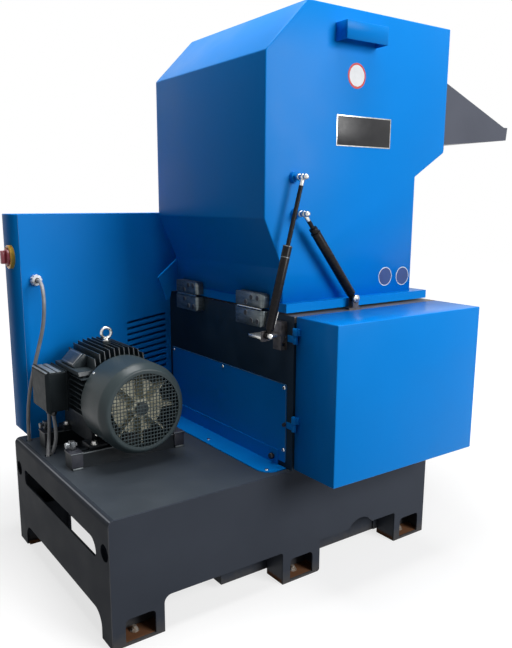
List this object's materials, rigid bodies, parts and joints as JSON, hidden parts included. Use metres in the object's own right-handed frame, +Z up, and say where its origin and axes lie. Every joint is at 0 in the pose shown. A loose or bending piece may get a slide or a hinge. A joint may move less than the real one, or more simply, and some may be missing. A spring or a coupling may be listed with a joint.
{
  "type": "plastic granulator",
  "caption": "Floor-standing plastic granulator: steel base with motor, cutting chamber behind a hinged guard, belt housing and a tilting feed hopper with two struts.",
  "frame": {"origin": "centre of the four corner anchor holes, on the floor", "axes": "+X along the front wall towards the feed chute, +Y from the guard to the belt housing, +Z up"},
  "size_m": [2.156, 1.442, 2.27],
  "materials": {
    "blue_paint": "semi-gloss",
    "base_paint": "satin",
    "chamber_steel": "satin",
    "machined_steel": "oiled",
    "rotor_steel": "ground",
    "hinge_steel": "satin",
    "bright_steel": "satin",
    "strut_black": "gloss",
    "chute_paint": "satin",
    "motor_paint": "satin",
    "cowl_paint": "semi-gloss",
    "grille_wire": "satin",
    "fan_plastic": "matt",
    "zinc": "zinc plated",
    "black_plastic": "gloss",
    "gland_white": "matt",
    "cable_grey": "matt",
    "switch_yellow": "semi-gloss",
    "switch_red": "semi-gloss"
  },
  "bodies": {
    "base_and_drive": {"base_front_wall": "base_paint", "base_back_wall": "base_paint", "base_left_end": "base_paint", "base_right_end": "base_paint", "base_deck": "base_paint", "base_foot_boxes": "base_paint", "discharge_trough": "base_paint", "chamber_end_walls": "chamber_steel", "chamber_side_walls": "chamber_steel", "chamber_top_flange": "machined_steel", "rotor": "rotor_steel", "rotor_knives": "rotor_steel", "screen_and_beams": "rotor_steel", "rotor_bearing": "machined_steel", "cover_plate": "blue_paint", "floor_angle": "blue_paint", "clamp_knob": "black_plastic", "hinge_lower_halves": "hinge_steel", "hinge_pins": "bright_steel", "strut_brackets": "bright_steel", "guard_hinge_leaves": "blue_paint", "housing_front_panel": "blue_paint", "housing_shell": "blue_paint", "switch_plate": "switch_yellow", "cable_glands": "gland_white", "motor_frame": "motor_paint", "motor_feet": "motor_paint", "fan_cowl": "cowl_paint", "fan_grille": "grille_wire", "terminal_box": "motor_paint", "terminal_lid": "motor_paint", "motor_eyebolt": "zinc", "slide_rails": "motor_paint", "supply_cable": "cable_grey", "motor_cable_1": "cable_grey", "motor_cable_2": "cable_grey"},
    "hopper": {"hinge_upper_halves": "hinge_steel", "hopper_front_plate": "blue_paint", "hopper_back_plate": "blue_paint", "hopper_left_side": "blue_paint", "hopper_right_side": "blue_paint", "hopper_roof": "blue_paint", "hopper_flange": "blue_paint", "hopper_hood": "blue_paint", "hopper_ear": "blue_paint", "feed_chute": "chute_paint", "strut_studs": "blue_paint"},
    "guard": {"guard_box": "blue_paint", "guard_hinge_barrels": "blue_paint"},
    "switch": {"switch_handle": "switch_red"},
    "fan": {"motor_fan": "fan_plastic"},
    "strut_1_tube": {"strut_1_tube": "strut_black"},
    "strut_1_rod": {"strut_1_rod": "strut_black"},
    "strut_2_tube": {"strut_2_tube": "strut_black"},
    "strut_2_rod": {"strut_2_rod": "strut_black"}
  },
  "joints": [
    {"name": "hopper_tilt", "type": "hinge", "parent": "base_and_drive", "child": "hopper", "pos_m": [-0.05625, 0, 1.122], "axis": [0, -1, 0], "range_deg": [0, 55]},
    {"name": "strut_1_swing", "type": "hinge", "parent": "base_and_drive", "child": "strut_1_tube", "pos_m": [-0.12625, -0.494, 1.046], "axis": [0, -1, 0], "range_deg": [0, 50]},
    {"name": "strut_1_rod_swing", "type": "hinge", "parent": "hopper", "child": "strut_1_rod", "pos_m": [0.03175, -0.494, 1.633], "axis": [0, -1, 0], "range_deg": [-8, 0]},
    {"name": "strut_2_swing", "type": "hinge", "parent": "base_and_drive", "child": "strut_2_tube", "pos_m": [0.31275, -0.494, 1.155], "axis": [0, -1, 0], "range_deg": [0, 30]},
    {"name": "strut_2_rod_swing", "type": "hinge", "parent": "hopper", "child": "strut_2_rod", "pos_m": [0.04175, -0.494, 1.497], "axis": [0, -1, 0], "range_deg": [-28, 0]},
    {"name": "guard_swing", "type": "hinge", "parent": "base_and_drive", "child": "guard", "pos_m": [-0.02025, -0.529, 0.8], "axis": [0, 0, -1], "range_deg": [0, 90]},
    {"name": "switch_turn", "type": "hinge", "parent": "base_and_drive", "child": "switch", "pos_m": [-0.76625, 0.58, 1.302], "axis": [1, 0, 0], "range_deg": [0, 90]},
    {"name": "fan_spin", "type": "hinge", "parent": "base_and_drive", "child": "fan", "pos_m": [-0.47425, -0.095, 0.728], "axis": [0, 1, 0], "continuous": true}
  ],
  "couplings": [
    {"joint": "strut_1_swing", "follows": "hopper_tilt", "ratio": 0.885},
    {"joint": "strut_1_rod_swing", "follows": "hopper_tilt", "ratio": -0.115},
    {"joint": "strut_2_swing", "follows": "hopper_tilt", "ratio": 0.52},
    {"joint": "strut_2_rod_swing", "follows": "hopper_tilt", "ratio": -0.48}
  ]
}
